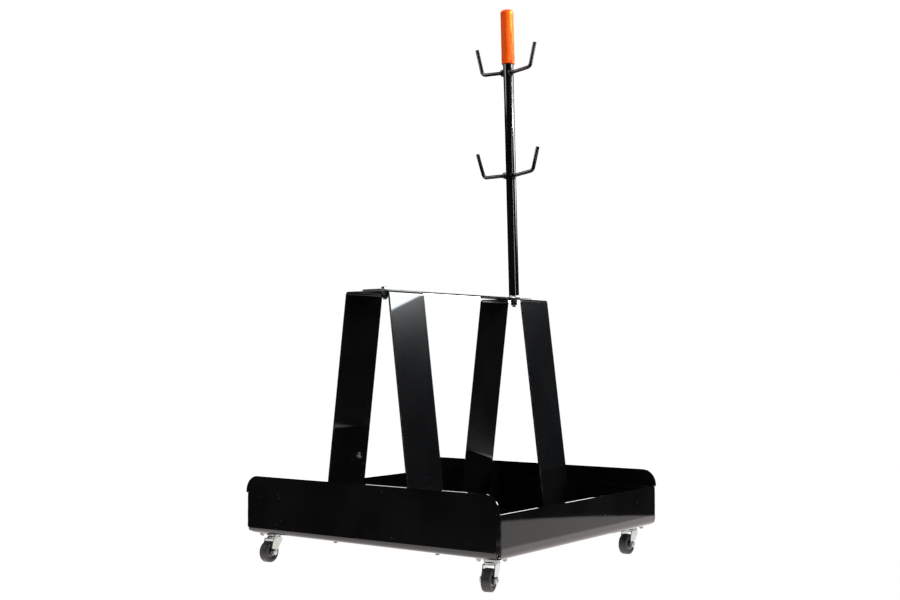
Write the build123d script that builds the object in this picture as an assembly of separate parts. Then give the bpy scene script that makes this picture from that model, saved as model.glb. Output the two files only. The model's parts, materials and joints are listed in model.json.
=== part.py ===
from build123d import *
from math import cos, radians, sin, tan
import os

# Rolling engine stand, in millimetres. +Z is up, +Y runs from the near leg frame to
# the pole, +X runs across the leg frames. The origin is on the ground, under the
# middle of the tray.

# Tray: one folded sheet, with tall walls at both Y ends and low walls at both X ends.
TRAY_X = 740.0
TRAY_Y = 700.0
TRAY_Z = 70.0
SHEET = 3.0
TALL_TOP = 207.0
LOW_TOP = 166.0
FOLD_R = 14.0
TALL_CORNER_R = 37.5
LIP_R = 1.2
CORNER_R = 8.0
RELIEF_R = 7.5
RELIEF_INSET = 12.0
FLOOR_TOP = TRAY_Z + SHEET
FOLD_TOP = TRAY_Z + FOLD_R

# Leg frames: a flat strip bent into an open trapezium, with a foot on each end.
STRIP = 4.0
STRIP_WIDTH = 128.0
NEAR_Y = -272.0
FAR_Y = 265.5
FRAME_TOP = 642.4
TOP_HALF = 63.7
SPREAD_HALF = 135.6
FOOT_HALF = 184.0
FOOT_BOLT_X = 151.0
STRIP_INNER_R = 4.0

# Flat bar that ties the two leg frames together.
BAR_THICK = 4.0
BAR_X = (-15.0, 35.0)
BAR_Y = (-336.0, 300.0)
BAR_CORNER_R = 3.0
BAR_TOP = FRAME_TOP + BAR_THICK

# M10 fasteners.
BOLT_R = 5.0
HOLE_R = 5.5
HEAD_ACROSS = 16.0
HEAD_THICK = 6.6
NUT_THICK = 8.0
WASHER_R = 10.0
WASHER_THICK = 2.0
FIT = 0.05
FRAME_BOLT_END = 3.5
FOOT_BOLT_END = 6.0
CHAMFER = 0.6

# Pole, its hooks and its grip.
POLE_Y = FAR_Y
POLE_R = 14.0
POLE_WALL = 2.0
POLE_TOP = 1418.5
PLUG_LENGTH = 22.0
STUD_END = 5.0
BASE_WELD = 8.5
POLE_LEAN_DEG = 1.42
ROD_R = 5.0
ROD_START = 13.0
HOOK_BEND_R = 13.0
HOOK_SET = POLE_R - ROD_R
HOOK_WELD_R = 9.5
HOOK_WELD_END = 22.0

# Each hook: side, height at the pole's axis, reach to the bend, the arm's rise and the
# tip's lean in degrees, and the tip's length.
HOOKS = {
    "upper_left": (-1, 1253.0, 78.0, 4.2, 13.0, 73.5),
    "upper_right": (1, 1249.5, 75.0, 6.2, 15.3, 65.5),
    "lower_left": (-1, 975.3, 81.0, 1.6, 16.7, 69.5),
    "lower_right": (1, 971.5, 75.0, 6.5, 16.0, 64.0),
}
GRIP_R = 18.0
GRIP_BOTTOM = 1277.5
GRIP_TOP = 1425.5
GRIP_DOME_R = 9.0
GRIP_COLLAR = 18.0
GRIP_RIB_PITCH = 4.0
GRIP_RIB_DEPTH = 0.5

# Swivel casters under the tray's corners.
CASTER_X = 320.0
CASTER_Y = 305.0
CASTER_YAW = {"front": 15.0, "left": 4.5, "right": 0.0, "back": 10.0}
CASTER_SIDE = {"front": (1, -1), "left": (-1, -1), "right": (1, 1), "back": (-1, 1)}
PLATE_SIZE = (60.0, 48.0)
PLATE_THICK = 2.5
PLATE_CORNER_R = 6.0
PLATE_BOTTOM = TRAY_Z - PLATE_THICK
SCREW_SPACING = (45.0, 33.0)
SCREW_R = 3.0
SCREW_HOLE_R = 3.3
SCREW_HEAD_R = 5.5
SCREW_HEAD = 3.4
SCREW_NUT_ACROSS = 10.0
SCREW_NUT = 5.0
SCREW_END = 1.8
RACE_R = 13.5
RACE_OUTER_R = 18.5
RACE_INNER_R = 8.0
RACE_BOTTOM = 62.0
BALL_R = 2.3
BALL_COUNT = 16
BALL_Z = 60.9
BALL_GAP = 0.1
CROWN_BOTTOM = 54.5
CROWN_THICK = 2.5
CROWN_R = 19.5
CROWN_RING_TOP = 59.8
PIN_R = 4.0
PIN_HEAD_R = 6.8
PIN_HEAD = 2.2
WHEEL_R = 25.0
WHEEL_WIDTH = 22.0
WHEEL_EDGE_R = 4.0
TRAIL = 19.0
HUB_R = 15.0
HUB_WIDTH = 24.4
HUB_BOSS_R = 8.0
AXLE_R = 4.0
FORK_GAP = 25.0
FORK_THICK = 2.0
FORK_FOOT_R = 8.0
AXLE_ACROSS = 13.0
AXLE_HEAD = 4.6
AXLE_NUT = 6.0

STEPS = {}


def up(z, solid):
    """The solid moved up to height z."""
    return Pos(0, 0, z) * solid


def disc(radius, z_low, z_high):
    """An upright cylinder between two heights."""
    floor = (Align.CENTER, Align.CENTER, Align.MIN)
    return up(z_low, Cylinder(radius, z_high - z_low, align=floor))


def ring(outer, inner, z_low, z_high):
    """A flat ring between two heights."""
    return disc(outer, z_low, z_high) - disc(inner, z_low - 1, z_high + 1)


def hexagon(across, z_low, z_high):
    """A hexagonal prism with its top and bottom corners rounded off."""
    flat = RegularPolygon(across / 2, 6, major_radius=False)
    prism = up(z_low, extrude(flat, z_high - z_low))
    return prism & chamfer(disc(across * 0.575, z_low, z_high).edges(), CHAMFER)


def hex_nut(across, bore, z_low, z_high):
    """A hexagonal nut with a plain bore."""
    return hexagon(across, z_low, z_high) - disc(bore, z_low - 1, z_high + 1)


def hex_bolt(radius, across, head, z_under_head, z_end):
    """A bolt with its head above z_under_head and its end below, at z_end."""
    shank = disc(radius, z_end, z_under_head + head / 2)
    shank = chamfer(shank.edges().group_by(Axis.Z)[0], CHAMFER)
    return shank + hexagon(across, z_under_head, z_under_head + head)


def drill(x, y, z_low, z_high, radius):
    """A vertical hole, to be taken away."""
    return Pos(x, y, 0) * disc(radius, z_low, z_high)


def fold(length):
    """A quarter-round fold along X, open towards +Y and up."""
    band = Circle(FOLD_R) - Circle(FOLD_R - SHEET)
    quarter = Pos(-FOLD_R / 2, -FOLD_R / 2) * Rectangle(FOLD_R, FOLD_R)
    return extrude(Plane.YZ * (band & quarter), length / 2, both=True)


def wall(distance, length, top, corner):
    """A flat wall at Y = -distance, above the fold, with rounded top corners."""
    corner_at_foot = (Align.CENTER, Align.MIN, Align.MIN)
    flat = Box(length, SHEET, top - FOLD_TOP, align=corner_at_foot)
    flat = fillet(flat.edges().filter_by(Axis.Y).group_by(Axis.Z)[-1], corner)
    return Pos(0, -distance, FOLD_TOP) * flat


def corner_places(x, y):
    """The four places at +-x and +-y."""
    return [(sx * x, sy * y) for sx in (-1, 1) for sy in (-1, 1)]


def tall_wall():
    """A tall end wall: full width above the low walls, narrower beside the corners."""
    half_x = TRAY_X / 2
    half_y = TRAY_Y / 2
    flat = wall(half_y, TRAY_X, TALL_TOP, TALL_CORNER_R)
    height = LOW_TOP - FOLD_TOP
    for side in (-1, 1):
        x = side * (half_x - CORNER_R / 2)
        flat -= Pos(x, -half_y, FOLD_TOP + height / 2) * Box(CORNER_R, 4 * SHEET, height)
    bend = Pos(0, FOLD_R - half_y, FOLD_TOP) * fold(TRAY_X - 2 * CORNER_R)
    return flat + bend


def low_wall():
    """A low side wall, standing at -Y before it is turned to its place."""
    distance = TRAY_X / 2
    length = TRAY_Y - 2 * CORNER_R
    flat = wall(distance, length, LOW_TOP, LIP_R)
    bend = Pos(0, FOLD_R - distance, FOLD_TOP) * fold(length)
    return flat + bend


def caster_frame(name):
    """The place of a caster's swivel axis, at ground level."""
    side_x, side_y = CASTER_SIDE[name]
    return side_x * CASTER_X, side_y * CASTER_Y


def foot_bolt_places():
    """The four places where the leg frames are bolted to the tray's floor."""
    return [(side * FOOT_BOLT_X, y) for side in (-1, 1) for y in (NEAR_Y, FAR_Y)]


def screw_places():
    """All caster screws, four to a caster."""
    places = []
    for name in CASTER_SIDE:
        x, y = caster_frame(name)
        offsets = corner_places(SCREW_SPACING[0] / 2, SCREW_SPACING[1] / 2)
        places += [(x + dx, y + dy) for dx, dy in offsets]
    return places


def tray():
    """The folded tray with its corner reliefs and bolt holes."""
    floor_x = TRAY_X - 2 * FOLD_R
    floor_y = TRAY_Y - 2 * FOLD_R
    body = up(TRAY_Z + SHEET / 2, Box(floor_x, floor_y, SHEET))
    for turn in (0, 180):
        body += Rot(0, 0, turn) * tall_wall()
        body += Rot(0, 0, turn + 90) * low_wall()
    for x, y in corner_places(TRAY_X / 2 - RELIEF_INSET, TRAY_Y / 2 - RELIEF_INSET):
        body -= drill(x, y, TRAY_Z - 1, FOLD_TOP, RELIEF_R)
    for x, y in foot_bolt_places():
        body -= drill(x, y, TRAY_Z - 1, FLOOR_TOP + 1, HOLE_R)
    for x, y in screw_places():
        body -= drill(x, y, TRAY_Z - 1, FLOOR_TOP + 1, SCREW_HOLE_R)
    return body


def corner_welds():
    """Four ground corner welds: quarter-round strips between neighbouring walls."""
    pieces = []
    quarter = Pos(CORNER_R / 2, CORNER_R / 2, 0) * Box(CORNER_R, CORNER_R, 4 * LOW_TOP)
    bead = ring(CORNER_R, CORNER_R - SHEET, FOLD_TOP, LOW_TOP) & quarter
    x = TRAY_X / 2 - CORNER_R
    y = TRAY_Y / 2 - CORNER_R
    for turn, sx, sy in ((0, 1, 1), (90, -1, 1), (180, -1, -1), (270, 1, -1)):
        pieces.append(Pos(sx * x, sy * y, 0) * Rot(0, 0, turn) * bead)
    return pieces


def offset_corner(before, corner, after, distance):
    """The corner of a bent path moved to its right-hand side by distance."""
    into = (corner - before).normalized()
    out = (after - corner).normalized()
    half = into.get_angle(out) / 2
    right = Vector(into.Y + out.Y, -(into.X + out.X)).normalized()
    return corner + right * (distance / cos(radians(half)))


def leg_x(z):
    """Half the spread of a leg frame's outer faces at height z."""
    share = (FRAME_TOP - z) / (FRAME_TOP - TRAY_Z)
    return TOP_HALF + (SPREAD_HALF - TOP_HALF) * share


def leg_frame(y_middle):
    """One bent strip: foot, leg, flat top, leg and foot, in the X-Z plane."""
    foot_top = FLOOR_TOP + STRIP
    ankle = leg_x(foot_top)
    right_half = [(TOP_HALF, FRAME_TOP), (ankle, foot_top), (FOOT_HALF, foot_top)]
    left_half = [(-x, z) for x, z in reversed(right_half)]
    outer = [Vector(x, z) for x, z in left_half + right_half]
    middle = range(1, len(outer) - 1)
    inner = [outer[0] - Vector(0, STRIP)]
    inner += [offset_corner(outer[i - 1], outer[i], outer[i + 1], STRIP) for i in middle]
    inner += [outer[-1] - Vector(0, STRIP)]
    wide = STRIP_INNER_R + STRIP
    outer_line = FilletPolyline(*outer, radius=[STRIP_INNER_R, wide, wide, STRIP_INNER_R])
    inner_line = FilletPolyline(*inner, radius=[wide, STRIP_INNER_R, STRIP_INNER_R, wide])
    ends = Line(outer[0], inner[0]) + Line(outer[-1], inner[-1])
    section = Plane.XZ * make_face(outer_line.edges() + inner_line.edges() + ends.edges())
    strip = Pos(0, y_middle, 0) * extrude(section, STRIP_WIDTH / 2, both=True)
    strip -= drill(0, y_middle, FRAME_TOP - 2 * STRIP, FRAME_TOP + 1, HOLE_R)
    for side in (-1, 1):
        strip -= drill(side * FOOT_BOLT_X, y_middle, TRAY_Z, foot_top + 1, HOLE_R)
    return strip


def top_bar():
    """The flat bar along the tops of both leg frames."""
    size_x = BAR_X[1] - BAR_X[0]
    size_y = BAR_Y[1] - BAR_Y[0]
    plan = Pos(sum(BAR_X) / 2, sum(BAR_Y) / 2) * RectangleRounded(size_x, size_y, BAR_CORNER_R)
    bar = up(FRAME_TOP, extrude(plan, BAR_THICK))
    for y in (NEAR_Y, FAR_Y):
        bar -= drill(0, y, FRAME_TOP - 1, BAR_TOP + 1, HOLE_R)
    return bar


def clamp_nut_top():
    """The height of the nuts that clamp the bar to the leg frames."""
    return FRAME_TOP - STRIP - WASHER_THICK


def frame_bolt():
    """The bolt through the bar and the near leg frame."""
    end = clamp_nut_top() - NUT_THICK - FRAME_BOLT_END
    bolt = hex_bolt(BOLT_R, HEAD_ACROSS, HEAD_THICK, BAR_TOP + WASHER_THICK, end)
    return Pos(0, NEAR_Y, 0) * bolt


def frame_washers():
    """The washers above and below, at the near bolt."""
    under = FRAME_TOP - STRIP
    pair = [ring(WASHER_R, BOLT_R + FIT, BAR_TOP, BAR_TOP + WASHER_THICK)]
    pair.append(ring(WASHER_R, BOLT_R + FIT, under - WASHER_THICK, under))
    return [Pos(0, NEAR_Y, 0) * washer for washer in pair]


def clamp_nut(y):
    """A nut under a leg frame's flat top."""
    top = clamp_nut_top()
    return Pos(0, y, 0) * hex_nut(HEAD_ACROSS, BOLT_R + FIT, top - NUT_THICK, top)


def leaned(shape):
    """The shape tipped about the middle of the pole's foot, towards -X."""
    tip = Rot(0, -POLE_LEAN_DEG, 0)
    return Pos(0, POLE_Y, BAR_TOP) * tip * Pos(0, -POLE_Y, -BAR_TOP) * shape


def on_bar(shape):
    """The shape tipped with the pole and cut level with the top of the bar."""
    return leaned(shape) - Pos(0, POLE_Y, BAR_TOP - 10) * Box(100, 100, 20)


def pole_tube():
    """The upright tube, which leans a little and is cut to stand flat on the bar."""
    tube = ring(POLE_R, POLE_R - POLE_WALL, BAR_TOP - 2, POLE_TOP)
    return on_bar(Pos(0, POLE_Y, 0) * tube)


def pole_stud():
    """The plug in the tube's foot, with the threaded stud that clamps the pole."""
    end = clamp_nut_top() - NUT_THICK - STUD_END
    plug = disc(POLE_R - POLE_WALL - FIT, BAR_TOP - 2, BAR_TOP + PLUG_LENGTH)
    stud = disc(BOLT_R, end, BAR_TOP + PLUG_LENGTH / 2)
    stud = chamfer(stud.edges().group_by(Axis.Z)[0], CHAMFER)
    return on_bar(Pos(0, POLE_Y, 0) * plug) + Pos(0, POLE_Y, 0) * stud


def pole_base_weld():
    """The fillet weld that flares out from the tube's foot, hollow in profile."""
    toe = (POLE_R + BASE_WELD, BAR_TOP)
    middle = (POLE_R + BASE_WELD * 0.36, BAR_TOP + BASE_WELD * 0.36)
    crest = (POLE_R, BAR_TOP + BASE_WELD)
    outline = ThreePointArc(toe, middle, crest) + Polyline(crest, (0, crest[1]), (0, BAR_TOP), toe)
    bead = revolve(Plane.XZ * make_face(outline.edges()), Axis.Z)
    tube = Pos(0, POLE_Y, 0) * disc(POLE_R, BAR_TOP - 10, BAR_TOP + 30)
    return Pos(0, POLE_Y, 0) * bead - leaned(tube)


def stud_washer():
    """The washer under the far leg frame."""
    under = FRAME_TOP - STRIP
    return Pos(0, POLE_Y, 0) * ring(WASHER_R, BOLT_R + FIT, under - WASHER_THICK, under)


def pole_bore(z):
    """A length of the pole's outside, to be taken away around height z."""
    return Pos(0, POLE_Y, 0) * disc(POLE_R, z - 60, z + 60)


def hook_corners(side, height, reach, rise, lean, tip):
    """The rod's middle line: its cut end beside the tube, the bend and the tip."""
    climb = tan(radians(rise))
    bend = height + reach * climb
    tip_x = reach + tip * sin(radians(lean))
    tip_z = bend + tip * cos(radians(lean))
    places = ((ROD_START, height + ROD_START * climb), (reach, bend), (tip_x, tip_z))
    return [Vector(side * x, POLE_Y - HOOK_SET, z) for x, z in places]


def hook(side, height, *bends):
    """A round rod bent up at its outer end, laid flush with the tube's near flank."""
    path = FilletPolyline(*hook_corners(side, height, *bends), radius=HOOK_BEND_R)
    section = Plane(origin=path @ 0, z_dir=path % 0) * Circle(ROD_R)
    rod = sweep(section, path=path)
    tip_edges = rod.faces().sort_by(Axis.Z)[-1].edges()
    return chamfer(tip_edges, CHAMFER) - pole_bore(height)


def hook_weld(side, height, *bends):
    """A lump of weld round the rod's cut end, drawn out along the rod."""
    corners = hook_corners(side, height, *bends)
    along = (corners[1] - corners[0]).normalized()
    foot = (Align.CENTER, Align.CENTER, Align.MIN)
    cone = Cone(HOOK_WELD_R - 1, ROD_R + 0.3, HOOK_WELD_END - ROD_START, align=foot)
    bore = Cylinder(ROD_R, 3 * HOOK_WELD_END, align=foot)
    lump = Plane(origin=corners[0], z_dir=along) * (Sphere(HOOK_WELD_R) + cone - bore)
    return lump - pole_bore(height)


def grip():
    """The ribbed plastic grip: a smooth collar below, ribs above, and a domed end."""
    ribs_bottom = GRIP_BOTTOM + GRIP_COLLAR
    body = disc(GRIP_R, GRIP_BOTTOM, GRIP_TOP)
    body = fillet(body.edges().group_by(Axis.Z)[-1], GRIP_DOME_R)
    body = chamfer(body.edges().group_by(Axis.Z)[0], CHAMFER)
    groove = ring(GRIP_R + 1, GRIP_R - GRIP_RIB_DEPTH, 0, GRIP_RIB_PITCH / 2)
    count = int((GRIP_TOP - GRIP_DOME_R - ribs_bottom) / GRIP_RIB_PITCH)
    for index in range(count):
        body -= up(ribs_bottom + index * GRIP_RIB_PITCH, groove)
    body -= disc(POLE_R, GRIP_BOTTOM - 1, POLE_TOP)
    return leaned(Pos(0, POLE_Y, 0) * body)


def foot_bolts():
    """The bolts that hold the leg frames' feet to the tray."""
    under_head = FLOOR_TOP + STRIP + WASHER_THICK
    end = TRAY_Z - WASHER_THICK - NUT_THICK - FOOT_BOLT_END
    bolt = hex_bolt(BOLT_R, HEAD_ACROSS, HEAD_THICK, under_head, end)
    return [Pos(x, y, 0) * bolt for x, y in foot_bolt_places()]


def foot_washers():
    """A washer on each foot and one under the tray below it."""
    foot_top = FLOOR_TOP + STRIP
    above = ring(WASHER_R, BOLT_R + FIT, foot_top, foot_top + WASHER_THICK)
    below = ring(WASHER_R, BOLT_R + FIT, TRAY_Z - WASHER_THICK, TRAY_Z)
    return [Pos(x, y, 0) * part for x, y in foot_bolt_places() for part in (above, below)]


def foot_nuts():
    """The nuts under the tray."""
    top = TRAY_Z - WASHER_THICK
    nut = hex_nut(HEAD_ACROSS, BOLT_R + FIT, top - NUT_THICK, top)
    return [Pos(x, y, 0) * nut for x, y in foot_bolt_places()]


def caster_screws():
    """Pan-head screws from inside the tray, through its floor and the caster plates."""
    end = PLATE_BOTTOM - SCREW_NUT - SCREW_END
    head = disc(SCREW_HEAD_R, FLOOR_TOP, FLOOR_TOP + SCREW_HEAD)
    head = fillet(head.edges().group_by(Axis.Z)[-1], SCREW_HEAD * 0.6)
    shank = disc(SCREW_R, end, FLOOR_TOP + SCREW_HEAD / 2)
    screw = chamfer(shank.edges().group_by(Axis.Z)[0], CHAMFER) + head
    return [Pos(x, y, 0) * screw for x, y in screw_places()]


def caster_nuts():
    """The nuts under the caster plates."""
    bottom = PLATE_BOTTOM - SCREW_NUT
    nut = hex_nut(SCREW_NUT_ACROSS, SCREW_R + FIT, bottom, PLATE_BOTTOM)
    return [Pos(x, y, 0) * nut for x, y in screw_places()]


def race_groove():
    """The path of the balls around the swivel axis, to be taken away."""
    return up(BALL_Z, Torus(RACE_R, BALL_R + BALL_GAP))


def caster_plate():
    """The mounting plate with its pressed upper raceway."""
    plan = RectangleRounded(*PLATE_SIZE, PLATE_CORNER_R)
    plate = up(PLATE_BOTTOM, extrude(plan, PLATE_THICK))
    race = disc(RACE_OUTER_R, RACE_BOTTOM, PLATE_BOTTOM)
    race = fillet(race.edges().group_by(Axis.Z)[0], 1.5)
    plate += race - disc(RACE_INNER_R, RACE_BOTTOM - 1, PLATE_BOTTOM)
    plate -= disc(PIN_R + FIT, PLATE_BOTTOM - 1, TRAY_Z + 1)
    for x, y in corner_places(SCREW_SPACING[0] / 2, SCREW_SPACING[1] / 2):
        plate -= drill(x, y, PLATE_BOTTOM - 1, TRAY_Z + 1, SCREW_HOLE_R)
    return plate - race_groove()


def kingpin():
    """The rivet that the fork swivels on, fixed in the plate."""
    head_top = CROWN_BOTTOM - 2 * BALL_GAP
    head = disc(PIN_HEAD_R, head_top - PIN_HEAD, head_top)
    head = fillet(head.edges().group_by(Axis.Z)[0], PIN_HEAD * 0.6)
    return disc(PIN_R, head_top - PIN_HEAD / 2, TRAY_Z) + head


def race_balls():
    """The loose balls between the raceways."""
    turns = [360 * index / BALL_COUNT for index in range(BALL_COUNT)]
    return [Rot(0, 0, turn) * Pos(RACE_R, 0, BALL_Z) * Sphere(BALL_R) for turn in turns]


def fork_cheek():
    """One side of the fork, from the crown down and back to the axle."""
    crown_top = CROWN_BOTTOM + CROWN_THICK
    axle = Pos(-TRAIL, WHEEL_R) * Circle(FORK_FOOT_R)
    shoulder = Polygon(
        (-CROWN_R + 2, crown_top),
        (CROWN_R - 6, crown_top),
        (CROWN_R - 8, crown_top - 9),
        (FORK_FOOT_R - TRAIL, WHEEL_R - 2),
        (-FORK_FOOT_R - TRAIL, WHEEL_R),
        (-CROWN_R - 3, crown_top - 14),
        align=None,
    )
    outline = axle + shoulder
    outline -= Pos(-TRAIL, WHEEL_R) * Circle(AXLE_R + FIT)
    return extrude(Plane.YZ * outline, FORK_THICK / 2, both=True)


def fork():
    """The swivelling fork: crown with the lower raceway, and two cheeks."""
    crown_top = CROWN_BOTTOM + CROWN_THICK
    crown = disc(CROWN_R, CROWN_BOTTOM, crown_top)
    crown &= Box(FORK_GAP + 2 * FORK_THICK, 2 * CROWN_R, 4 * crown_top)
    race = ring(RACE_OUTER_R - 0.5, RACE_INNER_R + 1, crown_top, CROWN_RING_TOP)
    body = crown + race
    for side in (-1, 1):
        body += Pos(side * (FORK_GAP + FORK_THICK) / 2, 0, 0) * fork_cheek()
    body -= race_groove()
    return body - disc(PIN_R + FIT, CROWN_BOTTOM - 1, CROWN_RING_TOP + 1)


def along_axle(solid):
    """A solid made along Z at the origin, laid along X on the wheel's axle."""
    return Pos(0, -TRAIL, WHEEL_R) * Rot(0, 90, 0) * solid


def axle_bolt():
    """The axle bolt, its head outside the fork's -X cheek."""
    outside = FORK_GAP / 2 + FORK_THICK
    head = hexagon(AXLE_ACROSS, -outside - AXLE_HEAD, -outside)
    shank = disc(AXLE_R, -outside - AXLE_HEAD / 2, outside + AXLE_NUT + 1.5)
    shank = chamfer(shank.edges().group_by(Axis.Z)[-1], CHAMFER)
    return along_axle(head + shank)


def axle_nut():
    """The nut outside the fork's +X cheek."""
    outside = FORK_GAP / 2 + FORK_THICK
    return along_axle(hex_nut(AXLE_ACROSS, AXLE_R + FIT, outside, outside + AXLE_NUT))


def wheel_hub():
    """The moulded core, with a boss that stands out to the fork on both sides."""
    core = disc(HUB_R, -WHEEL_WIDTH / 2 + 1.5, WHEEL_WIDTH / 2 - 1.5)
    core += disc(HUB_BOSS_R, -HUB_WIDTH / 2, HUB_WIDTH / 2)
    return along_axle(core - disc(AXLE_R + FIT, -HUB_WIDTH, HUB_WIDTH))


def wheel_tyre():
    """The solid rubber tyre with round shoulders."""
    tyre = disc(WHEEL_R, -WHEEL_WIDTH / 2, WHEEL_WIDTH / 2)
    tyre = fillet(tyre.edges(), WHEEL_EDGE_R)
    return along_axle(tyre - disc(HUB_R, -WHEEL_WIDTH, WHEEL_WIDTH))


def placed(name, solids, yaw):
    """Caster solids moved to their corner and turned about the swivel axis."""
    x, y = caster_frame(name)
    return [Pos(x, y, 0) * Rot(0, 0, yaw) * solid for solid in solids]


def add_casters():
    """Every caster as its own set of nodes."""
    fixed = {"plate": [caster_plate()], "kingpin": [kingpin()]}
    turning = {
        "balls": race_balls(),
        "fork": [fork()],
        "axle_bolt": [axle_bolt()],
        "axle_nut": [axle_nut()],
        "hub": [wheel_hub()],
        "tyre": [wheel_tyre()],
    }
    for name, yaw in CASTER_YAW.items():
        for part, solids in fixed.items():
            STEPS[f"{name}_caster_{part}"] = placed(name, solids, 0)
        for part, solids in turning.items():
            STEPS[f"{name}_caster_{part}"] = placed(name, solids, yaw)


def add_hooks():
    """Two tiers of hooks, left and right, and all their welds."""
    for name, sizes in HOOKS.items():
        STEPS[f"hook_{name}"] = [leaned(hook(*sizes))]
    STEPS["hook_welds"] = [leaned(hook_weld(*sizes)) for sizes in HOOKS.values()]


def write_steps():
    """One STEP file per node."""
    os.makedirs("parts", exist_ok=True)
    for name, items in STEPS.items():
        solids = [solid for item in items for solid in item.solids()]
        shape = solids[0] if len(solids) == 1 else Compound(children=solids)
        shape.label = name
        export_step(shape, f"parts/{name}.step")


STEPS["tray"] = [tray()]
STEPS["corner_welds"] = corner_welds()
STEPS["leg_frame_near"] = [leg_frame(NEAR_Y)]
STEPS["leg_frame_far"] = [leg_frame(FAR_Y)]
STEPS["top_bar"] = [top_bar()]
STEPS["frame_bolt"] = [frame_bolt()]
STEPS["frame_washers"] = frame_washers()
STEPS["frame_nut"] = [clamp_nut(NEAR_Y)]
STEPS["foot_bolts"] = foot_bolts()
STEPS["foot_washers"] = foot_washers()
STEPS["foot_nuts"] = foot_nuts()
STEPS["pole_tube"] = [pole_tube()]
STEPS["pole_stud"] = [pole_stud()]
STEPS["pole_base_weld"] = [pole_base_weld()]
STEPS["stud_washer"] = [stud_washer()]
STEPS["stud_nut"] = [clamp_nut(POLE_Y)]
STEPS["grip"] = [grip()]
STEPS["caster_screws"] = caster_screws()
STEPS["caster_nuts"] = caster_nuts()
add_hooks()
add_casters()
write_steps()
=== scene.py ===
# %% [markdown]
# # A rolling engine stand in gloss black steel
#
# The stand is a folded sheet tray on four swivel casters, two bent strip leg frames, a
# flat bar and a tall pole with hooks and an orange grip. Its sizes are fixed by the
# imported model, which is loaded first and never changed. Every new surface is worked
# out with numpy around it: sheet metal with real rounded rims, threads, ribs and welds.

# %% Load the fixed frame
import json
import math

import bmesh
import bpy
import numpy as np
from mathutils import Matrix, Vector


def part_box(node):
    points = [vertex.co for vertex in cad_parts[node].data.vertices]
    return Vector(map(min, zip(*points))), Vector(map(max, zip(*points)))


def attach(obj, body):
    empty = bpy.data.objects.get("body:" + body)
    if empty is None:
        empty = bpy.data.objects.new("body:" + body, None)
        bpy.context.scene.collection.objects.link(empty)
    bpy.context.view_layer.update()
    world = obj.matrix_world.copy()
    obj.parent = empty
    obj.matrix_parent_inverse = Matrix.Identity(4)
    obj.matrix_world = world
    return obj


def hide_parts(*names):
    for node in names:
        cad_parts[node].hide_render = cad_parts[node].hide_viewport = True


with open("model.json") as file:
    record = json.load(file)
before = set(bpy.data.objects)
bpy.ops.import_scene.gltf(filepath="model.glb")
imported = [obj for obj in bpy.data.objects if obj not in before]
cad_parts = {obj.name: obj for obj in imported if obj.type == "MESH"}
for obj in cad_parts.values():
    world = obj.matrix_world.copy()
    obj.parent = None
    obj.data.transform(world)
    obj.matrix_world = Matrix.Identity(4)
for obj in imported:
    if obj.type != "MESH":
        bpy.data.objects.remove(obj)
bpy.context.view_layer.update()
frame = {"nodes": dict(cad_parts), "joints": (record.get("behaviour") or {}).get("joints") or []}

MM = 0.001
STAND = "stand"
CASTERS = ("front", "left", "right", "back")

# %% [markdown]
# ## The camera
#
# A camera half a metre up looks across the front corner of the tray, almost level, so
# both near walls show and upright edges stay nearly parallel. Its place is a point on
# the right and in front of the stand. The view turns about the vertical axis first,
# then tips up a little, and last rolls by a fraction of a degree.

# %% Place the camera
CAMERA_PLACE = (1.8116, -2.4605, 0.4949)
CAMERA_TURN = math.radians(36.59)
CAMERA_TIP = math.radians(2.592)
CAMERA_ROLL = math.radians(-0.116)
CAMERA_LENS = 49.205


def look_matrix(place, turn, tip, roll):
    """Roll about the line of sight, then tip up from level, then turn about +Z."""
    level = math.radians(90)
    aim = Matrix.Rotation(turn, 4, "Z") @ Matrix.Rotation(level + tip, 4, "X")
    return Matrix.Translation(place) @ aim @ Matrix.Rotation(roll, 4, "Z")


camera_data = bpy.data.cameras.new("camera")
camera_data.sensor_width = 36.0
camera_data.lens = CAMERA_LENS
camera = bpy.data.objects.new("camera", camera_data)
camera.matrix_world = look_matrix(CAMERA_PLACE, CAMERA_TURN, CAMERA_TIP, CAMERA_ROLL)
bpy.context.scene.collection.objects.link(camera)
bpy.context.scene.camera = camera

# %% [markdown]
# ## Marks that several finishes share
#
# Powder paint, zinc and rubber differ in colour and gloss, but all of them pick up the
# same three marks: a slow unevenness, small specks of dust, and a fine grain. Each mark
# is a node group that puts out one value between 0 and 1 and is placed in a material
# with its own scale. The shader itself stays in the material.

# %% Node groups for unevenness, specks and grain


def new_group(name, inputs):
    """An empty group with a Vector input, the given number inputs and one value out."""
    group = bpy.data.node_groups.new(name, "ShaderNodeTree")
    sockets = group.interface
    sockets.new_socket("Vector", in_out="INPUT", socket_type="NodeSocketVector")
    for label, value in inputs.items():
        socket = sockets.new_socket(label, in_out="INPUT", socket_type="NodeSocketFloat")
        socket.default_value = value
    sockets.new_socket("Value", in_out="OUTPUT", socket_type="NodeSocketFloat")
    return group, group.nodes.new("NodeGroupInput"), group.nodes.new("NodeGroupOutput")


def remap(tree, source, low, high):
    """A smooth ramp from 0 at low to 1 at high."""
    node = tree.nodes.new("ShaderNodeMapRange")
    node.interpolation_type = "SMOOTHSTEP"
    node.inputs["From Min"].default_value = low
    node.inputs["From Max"].default_value = high
    tree.links.new(source, node.inputs["Value"])
    return node.outputs["Result"]


def make_uneven_group():
    """Slow patches: noise at the given scale, stretched to the full 0 to 1."""
    group, into, out = new_group("slow_unevenness", {"Scale": 8.0, "Detail": 4.0})
    noise = group.nodes.new("ShaderNodeTexNoise")
    for label in ("Vector", "Scale", "Detail"):
        group.links.new(into.outputs[label], noise.inputs[label])
    group.links.new(remap(group, noise.outputs["Fac"], 0.32, 0.68), out.inputs["Value"])
    return group


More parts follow.
